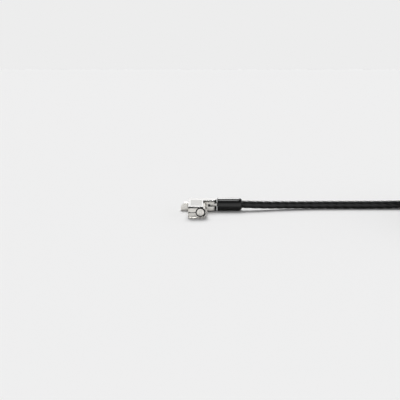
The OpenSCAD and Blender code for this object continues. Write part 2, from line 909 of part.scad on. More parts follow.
module cable_tail() {
    color([0.1, 0.1, 0.1]) placed() tube(tail_route, cable_diameter / 2, 8);
}

module cable_eye() {
    color([0.1, 0.1, 0.1]) placed() tube(eye_route, cable_diameter / 2, 8);
}

// The ferrule grips both strands, and its ends meet the tail and the eye.
module eye_ferrule() {
    radius = cable_diameter / 2 + eye_ferrule_wall;
    color("silver") placed() translate([eye_ferrule_start, 0, eye_z]) rotate([90, 0, 90])
        linear_extrude(eye_mouth - eye_ferrule_start) {
            for (y = [strand_lower, strand_upper])
                translate([y, 0]) circle(r = radius);
            translate([strand_lower, -radius]) square([strand_upper - strand_lower, 2 * radius]);
        }
}

// A strap round the coil's bundle. It reaches from the base to the given height.
module coil_tie(angle, top) {
    inner = coil_radius - turns_per_layer * coil_pitch - cable_diameter / 2 + 0.3;
    outer = coil_radius + cable_diameter / 2;
    translate([coil_x, coil_y, 0]) rotate([0, 0, angle])
        translate([0, tie_width / 2, 0]) rotate([90, 0, 0])
            linear_extrude(tie_width) difference() {
                translate([inner - tie_thickness, 0]) square([outer - inner + 2 * tie_thickness, top]);
                translate([inner, tie_thickness]) square([outer - inner, top - 2 * tie_thickness]);
            }
}

module coil_ties() {
    color([0.12, 0.12, 0.12]) placed() {
        coil_tie(135, coil_z + 3.3 * coil_pitch + cable_diameter / 2 + tie_thickness);
        coil_tie(-45, coil_z + 4 * coil_pitch + cable_diameter / 2 + tie_thickness + 0.1);
    }
}

// ---------------------------------------------------------------- nodes

body_lower();
body_upper();
top_cover();
dowel_pins();
guard_ring();
cylinder_shell();
plug_core();
code_disc_1();
code_disc_2();
code_disc_3();
code_disc_4();
code_disc_5();
disc_spacers();
sidebar();
keyway_shutter();
shutter_spring();
plug_clip();
face_cam();
locking_blade();
blade_spring();
jaw_left();
jaw_right();
nose_block();
nose_plate();
contact_pad();
rear_screws();
swivel_pin();
swivel_link();
thrust_washer();
collar();
crimp_ferrule();
wire_core();
cable_run();
cable_coil();
cable_tail();
cable_eye();
eye_ferrule();
coil_ties();
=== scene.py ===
import json
import math

import bpy
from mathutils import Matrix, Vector


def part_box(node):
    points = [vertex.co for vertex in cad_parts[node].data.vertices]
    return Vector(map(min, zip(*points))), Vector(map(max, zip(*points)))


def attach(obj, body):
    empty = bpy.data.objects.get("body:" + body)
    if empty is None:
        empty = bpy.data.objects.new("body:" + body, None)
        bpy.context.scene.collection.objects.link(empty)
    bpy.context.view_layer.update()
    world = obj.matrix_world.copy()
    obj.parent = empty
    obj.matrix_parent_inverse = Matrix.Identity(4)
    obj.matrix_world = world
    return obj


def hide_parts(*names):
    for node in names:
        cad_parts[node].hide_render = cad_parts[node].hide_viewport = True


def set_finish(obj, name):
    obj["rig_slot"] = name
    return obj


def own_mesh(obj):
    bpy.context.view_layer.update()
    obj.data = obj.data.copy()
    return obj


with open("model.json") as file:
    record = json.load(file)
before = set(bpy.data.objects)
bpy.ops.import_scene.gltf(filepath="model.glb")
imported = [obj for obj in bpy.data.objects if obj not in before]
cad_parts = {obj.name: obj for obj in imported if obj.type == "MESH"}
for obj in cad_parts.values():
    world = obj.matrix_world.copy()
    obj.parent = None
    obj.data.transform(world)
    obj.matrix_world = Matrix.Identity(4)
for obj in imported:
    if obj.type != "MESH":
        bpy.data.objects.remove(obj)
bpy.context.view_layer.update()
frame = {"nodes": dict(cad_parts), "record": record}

MM = 0.001

# Places below are in millimetres from the plug's axis, the barrel's front face and the base.
# The frame's origin lies this far to the right of that axis and behind that face.
ORIGIN_X = 6.8
ORIGIN_Y = 16.15


def at(x, y, z):
    return Vector(((x - ORIGIN_X) * MM, (y - ORIGIN_Y) * MM, z * MM))


# ---------------------------------------------------------------- camera

PLUG_FACE = at(0, 0, 3.6)
CAMERA_PITCH = math.radians(11.03)
CAMERA_DEPTH = 429.6 * MM
PLUG_BELOW_MIDDLE = 7.45 * MM
PLUG_RIGHT_OF_MIDDLE = 0.24 * MM
LENS_MM = 65.3
SENSOR_MM = 36
NEAREST_SEEN = 0.01
FARTHEST_SEEN = 20


def place_camera():
    """The camera looks a little down, with the plug just below the middle of the picture."""
    ahead = Vector((0, math.cos(CAMERA_PITCH), -math.sin(CAMERA_PITCH)))
    upward = Vector((0, math.sin(CAMERA_PITCH), math.cos(CAMERA_PITCH)))
    across = Vector((1, 0, 0))
    lens = bpy.data.cameras.new("bench_camera")
    lens.lens = LENS_MM
    lens.sensor_width = SENSOR_MM
    lens.clip_start = NEAREST_SEEN
    lens.clip_end = FARTHEST_SEEN
    camera = bpy.data.objects.new("bench_camera", lens)
    camera.location = (
        PLUG_FACE - CAMERA_DEPTH * ahead
        + PLUG_BELOW_MIDDLE * upward - PLUG_RIGHT_OF_MIDDLE * across
    )
    camera.rotation_euler = (math.pi / 2 - CAMERA_PITCH, 0, 0)
    bpy.context.scene.collection.objects.link(camera)
    bpy.context.scene.camera = camera


place_camera()

# ---------------------------------------------------------------- meshes


def new_piece(name, points, faces, body, slot):
    """A mesh object that moves with a body and takes its finish from a slot of the record."""
    mesh = bpy.data.meshes.new(name)
    mesh.from_pydata([tuple(p) for p in points], [], faces)
    mesh.validate()
    for face in mesh.polygons:
        face.use_smooth = True
    piece = bpy.data.objects.new(name, mesh)
    bpy.context.scene.collection.objects.link(piece)
    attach(piece, body)
    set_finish(piece, slot)
    return piece


def skin(rings, closed=False):
    """Quads between rings of as many points each. Open ends get a cap."""
    sides = len(rings[0])
    count = len(rings)
    faces = []
    for i in range(count if closed else count - 1):
        a = i * sides
        b = (i + 1) % count * sides
        for k in range(sides):
            n = (k + 1) % sides
            faces.append((a + k, a + n, b + n, b + k))
    if not closed:
        faces.append(tuple(reversed(range(sides))))
        faces.append(tuple(range((count - 1) * sides, count * sides)))
    return [p for ring in rings for p in ring], faces


FINE_PER_STEP = 3


def smooth_line(knots, step):
    """Points an even step apart on a smooth curve through the knots."""
    spans = [(b - a).length for a, b in zip(knots, knots[1:])]
    slopes = []
    for i in range(len(knots)):
        before = (knots[i] - knots[i - 1]) / spans[i - 1] if i else None
        after = (knots[i + 1] - knots[i]) / spans[i] if i < len(spans) else None
        if before is None or after is None:
            slopes.append(before or after)
        else:
            both = spans[i] + spans[i - 1]
            slopes.append((before * spans[i] + after * spans[i - 1]) / both)
    fine = []
    for i, span in enumerate(spans):
        parts = max(2, round(span / step * FINE_PER_STEP))
        for k in range(parts):
            t = k / parts
            fine.append(
                knots[i] * (2 * t**3 - 3 * t**2 + 1)
                + slopes[i] * span * (t**3 - 2 * t**2 + t)
                + knots[i + 1] * (3 * t**2 - 2 * t**3)
                + slopes[i + 1] * span * (t**3 - t**2)
            )
    fine.append(knots[-1].copy())
    total = sum((b - a).length for a, b in zip(fine, fine[1:]))
    steps = round(total / step)
    even = [fine[0]]
    gone = 0.0
    for a, b in zip(fine, fine[1:]):
        stretch = (b - a).length
        while len(even) < steps and gone + stretch >= len(even) * total / steps:
            even.append(a.lerp(b, (len(even) * total / steps - gone) / stretch))
        gone += stretch
    even.append(fine[-1])
    return even


# ---------------------------------------------------------------- cable

CABLE_DIAMETER = 5.0

# The stored coil is wound in layers, inwards and outwards by turns. It climbs to the next layer
# within half a turn.
COIL_X = 162
COIL_Y = -3.25
COIL_Z = 3.3
COIL_RADIUS = 33
COIL_PITCH = 5.5
TURNS_PER_LAYER = 2
COIL_TURNS = 8.5
CLIMBS_START = (1.75, 3.75, 5.75, 7.75)
CLIMB_TURNS = 0.5
RINGS_PER_TURN = 24

# From the collar down to the bench and along it to the coil.
RUN = [
    (22, 23.3, 4), (27, 23.3, 4), (34, 23.8, 3.65), (43, 25.2, 3.2),
    (53, 26.8, 2.9), (64, 28, 2.7), (78, 28.9, 2.6), (94, 29.3, 2.55),
    (110, 29.4, 2.55), (123, 29.5, 2.65), (134, 29.6, 2.8), (144, 29.7, 3.1),
    (152, 29.75, 3.3), (157, 29.75, 3.3),
]
# From the coil's last turn up over the top of it and into the sleeve.
TAIL = [
    (157, -33.5, 25.3), (155, -33.5, 25.3), (148.8, -32.5, 25.4), (143.2, -29.7, 25.9),
    (138.8, -25.3, 26.7), (136, -19.7, 27.6), (135, -13.5, 28.6), (136, -7.3, 29.4),
    (138.8, -1.7, 30.1), (143.2, 2.7, 30.6), (148.8, 5.5, 30.8), (155, 6.5, 30.8),
    (157, 6.5, 30.8),
]
SLEEVE_START = 157
SLEEVE_END = 168
EYE_Z = 30.8
EYE_BEND = 15
EYE_BEND_STEPS = 18
THROAT_BEND = 20
THROAT_BEND_STEPS = 4
EYE_STUB = 2
STRAND_UPPER = 6.5
STRAND_LOWER = 1
END_INSIDE_SLEEVE = 1.5


def eased(s):
    s = min(1, max(0, s))
    return s * s * (3 - 2 * s)


def coil_radius(turn):
    v = turn % (2 * TURNS_PER_LAYER)
    return COIL_RADIUS - COIL_PITCH * (v if v < TURNS_PER_LAYER else 2 * TURNS_PER_LAYER - v)


def coil_height(turn):
    climbed = sum(eased((turn - start) / CLIMB_TURNS) for start in CLIMBS_START)
    return COIL_Z + COIL_PITCH * climbed


def coil_point(turn):
    angle = math.pi / 2 - 2 * math.pi * turn
    radius = coil_radius(turn)
    return (
        COIL_X + radius * math.cos(angle), COIL_Y + radius * math.sin(angle), coil_height(turn),
    )


def eye_points():
    """The eye goes out of the sleeve, round, and back into it."""
    middle = (STRAND_UPPER + STRAND_LOWER) / 2
    half = (STRAND_UPPER - STRAND_LOWER) / 2
    side = half + THROAT_BEND
    centre = math.sqrt((EYE_BEND + THROAT_BEND) ** 2 - side**2)
    throat = math.asin(centre / (EYE_BEND + THROAT_BEND))
    out = []
    for i in range(THROAT_BEND_STEPS + 1):
        angle = throat * i / THROAT_BEND_STEPS
        out.append((THROAT_BEND * math.sin(angle), side - THROAT_BEND * math.cos(angle)))
    arc = math.pi + 2 * throat
    turn = []
    for i in range(1, EYE_BEND_STEPS):
        angle = arc / 2 - arc * i / EYE_BEND_STEPS
        turn.append((centre + EYE_BEND * math.cos(angle), EYE_BEND * math.sin(angle)))
    back = [(x, -y) for x, y in reversed(out)]
    flat = [(-EYE_STUB, half)] + out + turn + back + [(-EYE_STUB, -half)]
    return [(SLEEVE_END + EYE_STUB + x, middle + y, EYE_Z) for x, y in flat]


STRAND_COUNT = 6
POINTS_PER_STRAND = 6
STRAND_LAY = 32 * MM
STRAND_RELIEF = 0.2 * MM
CABLE_STEP = 1.5 * MM


def laid_cable(line, radius):
    """Rings round the line whose lobes turn with the lay of the strands under the jacket."""
    sides = STRAND_COUNT * POINTS_PER_STRAND
    rings = []
    across = None
    gone = 0.0
    for i, point in enumerate(line):
        along = (line[min(i + 1, len(line) - 1)] - line[max(i - 1, 0)]).normalized()
        if across is None:
            across = along.cross(Vector((0, 0, 1))).normalized()
        across = (across - along * across.dot(along)).normalized()
        upward = across.cross(along)
        if i:
            gone += (point - line[i - 1]).length
        twist = 2 * math.pi * gone / STRAND_LAY
        ring = []
        for k in range(sides):
            crest = abs(math.sin(math.pi * k / POINTS_PER_STRAND))
            reach = radius - STRAND_RELIEF * (1 - crest)
            angle = 2 * math.pi * k / sides + twist
            ring.append(point + reach * (math.cos(angle) * upward + math.sin(angle) * across))
        rings.append(ring)
    return skin(rings)


def make_cable():
    """The whole cable in one piece: run, coil, tail and eye. Its line is returned with it."""
    coil_rings = int(COIL_TURNS * RINGS_PER_TURN) + 1
    knots = list(RUN)
    knots += [coil_point(i / RINGS_PER_TURN) for i in range(coil_rings)]
    knots += TAIL
    knots += eye_points()
    knots.append((SLEEVE_START + END_INSIDE_SLEEVE, STRAND_LOWER, EYE_Z))
    line = smooth_line([at(*p) for p in knots], CABLE_STEP)
    points, faces = laid_cable(line, CABLE_DIAMETER / 2 * MM)
    cable = new_piece("security_cable", points, faces, "link", "cable_jacket")
    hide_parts("cable_run", "cable_coil", "cable_tail", "cable_eye")
    return cable, line


# The sleeve that closes the eye is pressed in three places and rounded at its mouths. A press is
# given as shares of its half width and of its depth.
SLEEVE_WALL = 0.8
SLEEVE_ROUNDING = 0.6
SLEEVE_MOUTH_STEPS = 6
SLEEVE_SIDE_STEPS = 24
SLEEVE_PLAIN = (158, 158.4)
PRESS_PLACES = (159.5, 162.5, 165.5)
PRESS_HALF_WIDTH = 0.85
PRESS_DEPTH = 0.3
PRESS_SHAPE = ((-1, 0), (-0.8, 0.55), (-0.5, 1), (0.5, 1), (0.8, 0.55), (1, 0))


def make_sleeve():
    """An oval sleeve round both strands of the cable."""
    near = []
    for i in range(SLEEVE_MOUTH_STEPS + 1):
        angle = math.pi / 2 * i / SLEEVE_MOUTH_STEPS
        near.append((
            SLEEVE_START + SLEEVE_ROUNDING * (1 - math.sin(angle)),
            SLEEVE_ROUNDING * (1 - math.cos(angle)),
        ))
    near.sort()
    far = [(SLEEVE_START + SLEEVE_END - x, inset) for x, inset in reversed(near)]
    barrel = [(x, 0.0) for x in SLEEVE_PLAIN]
    for place in PRESS_PLACES:
        for share, depth in PRESS_SHAPE:
            barrel.append((place + share * PRESS_HALF_WIDTH, depth * PRESS_DEPTH))
    radius = CABLE_DIAMETER / 2 + SLEEVE_WALL
    rings = []
    for x, inset in near + barrel + far:
        reach = radius - inset
        ring = []
        for strand, start in ((STRAND_UPPER, 0), (STRAND_LOWER, math.pi)):
            for i in range(SLEEVE_SIDE_STEPS + 1):
                angle = start + math.pi * i / SLEEVE_SIDE_STEPS
                y = strand + reach * math.sin(angle)
                ring.append(at(x, y, EYE_Z + reach * math.cos(angle)))
        rings.append(ring)
    points, faces = skin(rings)
    sleeve = new_piece("pressed_sleeve", points, faces, "link", "ferrule_aluminium")
    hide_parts("eye_ferrule")
    return sleeve


# A tie is a strap of hook and loop tape, wrapped once round the bundle with its end laid over.
STRAP_WIDTH = 8.0
STRAP_THICKNESS = 0.55
STRAP_CORNER = 2.6
STRAP_CORNER_STEPS = 6
STRAP_STEP = 1.2
STRAP_EDGE = 0.18
STRAP_CROWN = 0.06
STRAP_OFF_BUNDLE = 0.02
LAID_OVER_SHARE = 0.3
END_TAPER = 0.35
END_TAPER_RINGS = 2
BUNDLE_INNER = 19.5
BUNDLE_OUTER = 35.8
BUNDLE_BOTTOM = 0.65
STRAP_OVER_BUNDLE = 0.6


def strap_outline(low_r, high_r, low_z, high_z, corner):
    """Points and outward directions round a rounded rectangle, from its outer side's middle."""
    corners = (
        (high_r - corner, high_z - corner, 0),
        (low_r + corner, high_z - corner, 1),
        (low_r + corner, low_z + corner, 2),
        (high_r - corner, low_z + corner, 3),
    )
    outline = [(high_r, (low_z + high_z) / 2, 0.0)]
    for r, z, quarter in corners:
        for i in range(STRAP_CORNER_STEPS + 1):
            angle = math.pi / 2 * (quarter + i / STRAP_CORNER_STEPS)
            outline.append((r + corner * math.cos(angle), z + corner * math.sin(angle), angle))
    outline.append((high_r, (low_z + high_z) / 2, 2 * math.pi))
    fine = []
    for a, b in zip(outline, outline[1:]):
        parts = max(1, round(math.hypot(b[0] - a[0], b[1] - a[1]) / STRAP_STEP))
        for k in range(parts):
            fine.append(tuple(a[n] + (b[n] - a[n]) * k / parts for n in range(3)))
    return fine


def make_strap(name, degrees, top):
    """A closed band and, over its outer side, the end that is pressed onto it."""
    turn = math.radians(degrees)

    def strap_point(r, z, across):
        return at(
            COIL_X + r * math.cos(turn) - across * math.sin(turn),
            COIL_Y + r * math.sin(turn) + across * math.cos(turn),
            z,
        )

    half = STRAP_WIDTH / 2
    inner = half - STRAP_EDGE
    points, faces = [], []
    for layer in (0, 1):
        outline = strap_outline(
            BUNDLE_INNER, BUNDLE_OUTER, BUNDLE_BOTTOM, top - STRAP_OVER_BUNDLE, STRAP_CORNER,
        )
        if layer:
            keep = int(len(outline) * LAID_OVER_SHARE / 2)
            outline = outline[-keep:] + outline[:keep]
        low = STRAP_OFF_BUNDLE + layer * STRAP_THICKNESS
        high = low + STRAP_THICKNESS
        section = (
            (-half, low + STRAP_EDGE), (-inner, low), (inner, low), (half, low + STRAP_EDGE),
            (half, high - STRAP_EDGE), (inner, high), (0, high + STRAP_CROWN), (-inner, high),
            (-half, high - STRAP_EDGE),
        )
        rings = []
        for i, (r, z, angle) in enumerate(outline):
            narrow = 1.0
            if layer:
                past_end = min(i, len(outline) - 1 - i)
                narrow = 1 - END_TAPER * max(0, 1 - past_end / END_TAPER_RINGS) ** 2
            rings.append([
                strap_point(
                    r + lift * math.cos(angle), z + lift * math.sin(angle), across * narrow,
                )
                for across, lift in section
            ])
        more_points, more_faces = skin(rings, closed=layer == 0)
        start = len(points)
        points += more_points
        faces += [tuple(start + k for k in face) for face in more_faces]
    return new_piece(name, points, faces, "link", "tie_fabric")


cable, cable_line = make_cable()
sleeve = make_sleeve()
strap_far = make_strap("coil_strap_far", 135, 24.55)
strap_near = make_strap("coil_strap_near", -45, 28.5)
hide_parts("coil_ties")

# ---------------------------------------------------------------- shutter spring

# The keyway shutter's spring is drawn here as a coil of wire, in place of the part's own mesh.
SPRING_WIRE = 0.2 * MM
SPRING_TURNS = 9
SPRING_DEAD_TURNS = 1
SPRING_RINGS_PER_TURN = 16
SPRING_SIDES = 8


def make_shutter_spring():
    """A coil of drawn wire whose first and last turns lie closed."""
    low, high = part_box("shutter_spring")
    middle = (low + high) / 2
    wire_radius = SPRING_WIRE / 2
    radius = (high.x - low.x - SPRING_WIRE) / 2
    free = high.y - low.y - SPRING_WIRE
    closed = SPRING_WIRE * SPRING_DEAD_TURNS
    live_turns = SPRING_TURNS - 2 * SPRING_DEAD_TURNS
    along_axis = Vector((0, 1, 0))
    rings = []
    for i in range(SPRING_TURNS * SPRING_RINGS_PER_TURN + 1):
        turns = i / SPRING_RINGS_PER_TURN
        angle = 2 * math.pi * turns
        live = (turns - SPRING_DEAD_TURNS) / live_turns
        if live > 1:
            along = wire_radius + free - SPRING_WIRE * (SPRING_TURNS - turns)
        elif live > 0:
            along = wire_radius + closed + (free - 2 * closed) * live
        else:
            along = wire_radius + SPRING_WIRE * turns
        outward = Vector((math.cos(angle), 0, math.sin(angle)))
        centre = Vector((middle.x, low.y + along, middle.z)) + radius * outward
        ring = []
        for k in range(SPRING_SIDES):
            around = 2 * math.pi * k / SPRING_SIDES
            spoke = math.cos(around) * outward + math.sin(around) * along_axis
            ring.append(centre + wire_radius * spoke)
        rings.append(ring)
    points, faces = skin(rings)
    spring = new_piece("shutter_coil", points, faces, "plug", "spring_steel")
    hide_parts("shutter_spring")
    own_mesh(spring)
    return spring


shutter_coil = make_shutter_spring()

# ---------------------------------------------------------------- nodes of the materials


def linear(colour):
    """A six-figure sRGB hex colour as linear values."""
    values = [int(colour[i : i + 2], 16) / 255 for i in (1, 3, 5)]
    return [v / 12.92 if v <= 0.04045 else ((v + 0.055) / 1.055) ** 2.4 for v in values] + [1.0]


def add(tree, kind, settings=None, inputs=None):
    """A node with its settings. An input is given a value or another node's output."""
    node = tree.nodes.new(kind)
    for name, value in (settings or {}).items():
        setattr(node, name, value)
    for name, value in (inputs or {}).items():
        if isinstance(value, bpy.types.NodeSocket):
            tree.links.new(value, node.inputs[name])
        else:
            node.inputs[name].default_value = value
    return node


def own_place(tree):
    """Where a point lies on its own piece."""
    return add(tree, "ShaderNodeTexCoord").outputs["Object"]


def maths(tree, operation, *values, clamp=False):
    return add(
        tree, "ShaderNodeMath", {"operation": operation, "use_clamp": clamp},
        dict(enumerate(values)),
    ).outputs[0]


def spread(tree, value, low, high, to_low=0, to_high=1, ease="LINEAR"):
    """What lies between low and high, laid out between to_low and to_high."""
    return add(
        tree, "ShaderNodeMapRange", {"interpolation_type": ease},
        {"Value": value, "From Min": low, "From Max": high, "To Min": to_low, "To Max": to_high},
    ).outputs[0]


def mixed(tree, share, first, second):
    """A colour that goes from the first to the second as the share goes from 0 to 1."""
    return add(
        tree, "ShaderNodeMix", {"data_type": "RGBA"}, {0: share, 6: first, 7: second},
    ).outputs[2]


def noise(tree, place, size_mm, detail, roughness=0.5):
    return add(
        tree, "ShaderNodeTexNoise", {},
        {"Vector": place, "Scale": 1 / (size_mm * MM), "Detail": detail, "Roughness": roughness},
    ).outputs["Fac"]


def relief(tree, height, depth_mm, strength):
    return add(
        tree, "ShaderNodeBump", {},
        {"Strength": strength, "Distance": depth_mm * MM, "Height": height},
    ).outputs[0]


def new_material(name):
    material = bpy.data.materials.new(name)
    material.use_nodes = True
    material.node_tree.nodes.clear()
    return material, material.node_tree


def finish_surface(tree, shader):
    add(tree, "ShaderNodeOutputMaterial", inputs={"Surface": shader.outputs[0]})


# ---------------------------------------------------------------- wear, painted light and shade, and marks

# How well the softened normal has to match the true one on a flat face and along an edge.
FLAT_MATCH, EDGE_MATCH = 0.995, 0.86
BEVEL_SAMPLES = 4


def edge_band(tree, width_mm):
    """From 0 on a flat face to 1 along an edge, over the given width."""
    rounded = add(tree, "ShaderNodeBevel", {"samples": BEVEL_SAMPLES}, {"Radius": width_mm * MM})
    flat = add(tree, "ShaderNodeNewGeometry")
    match = add(
        tree, "ShaderNodeVectorMath", {"operation": "DOT_PRODUCT"},
        {0: rounded.outputs[0], 1: flat.outputs["Normal"]},
    ).outputs["Value"]
    return spread(tree, match, FLAT_MATCH, EDGE_MATCH)


# Painted shade: a face is painted darker, down to near black, where it sees less than this of its
# surroundings, so that seams, grooves and slots look shadowed.
RECESS_SHADE = "#0B0A09"
SHADED_OPENNESS, UNSHADED_OPENNESS = 0.25, 0.72
UNSHADED_AT_LEAST = 0.02
SEAM_REACH_MM = 1.2
SLOT_REACH_MM = 3
OPENNESS_SAMPLES = 6


def painted_recess_shade(tree):
    """From 1 on an open face down to nearly 0 in seams and slots: the mask of the painted shade
    there.
    """
    near_parts = add(
        tree, "ShaderNodeAmbientOcclusion", {"samples": OPENNESS_SAMPLES},
        {"Distance": SEAM_REACH_MM * MM},
    ).outputs["AO"]
    own_slots = add(
        tree, "ShaderNodeAmbientOcclusion", {"samples": OPENNESS_SAMPLES, "only_local": True},
        {"Distance": SLOT_REACH_MM * MM},
    ).outputs["AO"]
    openness = maths(tree, "MINIMUM", near_parts, own_slots)
    return spread(
        tree, openness, SHADED_OPENNESS, UNSHADED_OPENNESS, UNSHADED_AT_LEAST, 1, ease="SMOOTHSTEP",
    )


# A wave texture has 20 radians to its unit of length.
WAVE_PERIOD = 2 * math.pi / 20

# Lines are noise that is drawn out along an axis.
LINE_SQUEEZE = 0.05
MARKS = {
    "grain": (1, 1, 1),
    "lines_x": (LINE_SQUEEZE, 1, 1),
    "lines_y": (1, LINE_SQUEEZE, 1),
    "lines_z": (1, 1, LINE_SQUEEZE),
}


def tool_marks(tree, marks, spacing_mm):
    """What the last tool left: grain, lines along an axis, or turned rings round the plug."""
    place = own_place(tree)
    if marks == "turned":
        centred = add(
            tree, "ShaderNodeVectorMath", {"operation": "SUBTRACT"}, {0: place, 1: PLUG_FACE},
        ).outputs[0]
        return add(
            tree, "ShaderNodeTexWave",
            {"wave_type": "RINGS", "rings_direction": "Y", "wave_profile": "SIN"},
            {
                "Vector": centred, "Scale": WAVE_PERIOD / (spacing_mm * MM), "Distortion": 1.5,
                "Detail": 2, "Detail Scale": 2,
            },
        ).outputs["Fac"]
    drawn = add(
        tree, "ShaderNodeVectorMath", {"operation": "MULTIPLY"}, {0: place, 1: MARKS[marks]},
    ).outputs[0]
    return noise(tree, drawn, spacing_mm, 3, 0.6)


# The upward share of the normal on a face that counts as level, and on one that counts as upright.
LEVEL_NORMAL, UPRIGHT_NORMAL = 0.45, 0.15


def upright_shade_mask(tree):
    """From 0 on a level face to 1 on an upright one, as the part lies at rest. It places painted
    shade on upright faces.
    """
    normal = add(tree, "ShaderNodeTexCoord").outputs["Normal"]
    upward = add(tree, "ShaderNodeSeparateXYZ", {}, {"Vector": normal}).outputs["Z"]
    return spread(tree, maths(tree, "ABSOLUTE", upward), LEVEL_NORMAL, UPRIGHT_NORMAL)


# The panel on the cover, inside a border that is painted paler as a highlight, and how softly that
# border ends.
PANEL_LEFT, PANEL_RIGHT = -6.0, 1.0
PANEL_FRONT, PANEL_BACK = 3.0, 20.5
PANEL_FADE = 0.25


def border_highlight_mask(tree):
    """From 0 on the cover's panel to 1 on its border, which is painted paler as a highlight."""
    split = add(tree, "ShaderNodeSeparateXYZ", {}, {"Vector": own_place(tree)})
    shares = []
    for axis, origin, low, high in (
        ("X", ORIGIN_X, PANEL_LEFT, PANEL_RIGHT), ("Y", ORIGIN_Y, PANEL_FRONT, PANEL_BACK),
    ):
        middle = ((low + high) / 2 - origin) * MM
        half = (high - low) / 2 * MM
        offset = maths(tree, "SUBTRACT", split.outputs[axis], middle)
        distance = maths(tree, "ABSOLUTE", offset)
        shares.append(spread(tree, distance, half - PANEL_FADE * MM, half))
    return maths(tree, "MAXIMUM", *shares)


# ---------------------------------------------------------------- materials

# Most of a noise pattern lies between these two values.
NOISE_LOW, NOISE_HIGH = 0.3, 0.7
RUBBED_GLOSS = 0.12


def metal(
    name, dull, bright, worn_highlit_edge, roughness, marks, spacing_mm, depth_mm,
    cloud_mm=5, edge_mm=0.18, upright_shade=None, border_highlight=None,
):
    """A bare or plated metal. Its colour drifts slowly from dull to bright, its tool marks catch
    light, its edges are painted paler as wear and as a painted highlight, and its seams and slots
    are painted dark as painted shade. Upright sides can be painted dark as painted shade, and a
    border paler as a painted highlight."""
    material, tree = new_material(name)
    cloud = noise(tree, own_place(tree), cloud_mm, 4, 0.55)
    face = mixed(tree, spread(tree, cloud, NOISE_LOW, NOISE_HIGH), linear(dull), linear(bright))
    # A paler border is painted round the cover's panel as a painted highlight.
    if border_highlight:
        face = mixed(tree, border_highlight_mask(tree), face, linear(border_highlight))
    # Upright faces are painted dark as painted shade.
    if upright_shade:
        face = mixed(tree, upright_shade_mask(tree), face, linear(upright_shade))
    # Seams and slots are painted dark here: painted shade.
    unshaded = painted_recess_shade(tree)
    # Edges are painted paler, partly as wear and partly as a painted highlight.
    edge_share = maths(tree, "MULTIPLY", edge_band(tree, edge_mm), unshaded)
    worn_and_highlit = mixed(tree, edge_share, face, linear(worn_highlit_edge))
    trace = tool_marks(tree, marks, spacing_mm)
    rough_face = spread(
        tree, trace, NOISE_LOW, NOISE_HIGH, roughness - 0.05, roughness + 0.06,
    )
    shader = add(
        tree, "ShaderNodeBsdfPrincipled", {},
        {
            "Base Color": mixed(tree, unshaded, linear(RECESS_SHADE), worn_and_highlit),
            "Metallic": 1.0,
            "Roughness": maths(
                tree, "MULTIPLY_ADD", edge_share, -RUBBED_GLOSS, rough_face, clamp=True,
            ),
            "Normal": relief(tree, trace, depth_mm, 0.6),
        },
    )
    finish_surface(tree, shader)
    return material


DUST_MM = 4
DUST_LOW, DUST_HIGH = 0.35, 0.75
MOULDED_EDGE_MM = 0.25


def moulded(name, colour, light, roughness, ior, grain_mm, depth_mm, coat=0.0):
    """A moulded plastic or rubber with a fine skin texture. It goes from its colour to a lighter
    one where dust clings and where its edges are worn."""
    material, tree = new_material(name)
    place = own_place(tree)
    cloud = noise(tree, place, DUST_MM, 4, 0.6)
    dust = spread(tree, cloud, DUST_LOW, DUST_HIGH, 0, 0.5)
    edge_share = edge_band(tree, MOULDED_EDGE_MM)
    fade = maths(tree, "MULTIPLY_ADD", edge_share, 0.5, dust, clamp=True)
    shader = add(
        tree, "ShaderNodeBsdfPrincipled", {},
        {
            "Base Color": mixed(tree, fade, linear(colour), linear(light)),
            "Roughness": spread(
                tree, cloud, NOISE_LOW, NOISE_HIGH, roughness - 0.03, roughness + 0.06,
            ),
            "IOR": ior,
            "Normal": relief(tree, noise(tree, place, grain_mm, 2), depth_mm, 0.5),
            "Coat Weight": coat,
            "Coat Roughness": 0.08,
        },
    )
    finish_surface(tree, shader)
    return material


FUZZ_MM = 0.25
FUZZ_SHARE = 0.7
WEAVE_DEPTH_MM = 0.15


def woven_tape(name, colour, light, thread_mm):
    """Hook and loop tape: a tight weave of matt nylon threads under short fuzz."""
    material, tree = new_material(name)
    place = own_place(tree)
    waves = [
        add(
            tree, "ShaderNodeTexWave",
            {"wave_type": "BANDS", "bands_direction": direction, "wave_profile": "SIN"},
            {
                "Vector": place, "Scale": WAVE_PERIOD / (thread_mm * MM), "Distortion": 0.6,
                "Detail": 1, "Detail Scale": 3,
            },
        ).outputs["Fac"]
        for direction in ("DIAGONAL", "Z")
    ]
    weave = maths(tree, "MULTIPLY", *waves)
    height = maths(tree, "MULTIPLY_ADD", noise(tree, place, FUZZ_MM, 3), FUZZ_SHARE, weave)
    shader = add(
        tree, "ShaderNodeBsdfPrincipled", {},
        {
            "Base Color": mixed(tree, weave, linear(colour), linear(light)),
            "Roughness": 0.85,
            "IOR": 1.53,
            "Normal": relief(tree, height, WEAVE_DEPTH_MM, 0.8),
            "Sheen Weight": 0.35,
            "Sheen Roughness": 0.4,
        },
    )
    finish_surface(tree, shader)
    return material
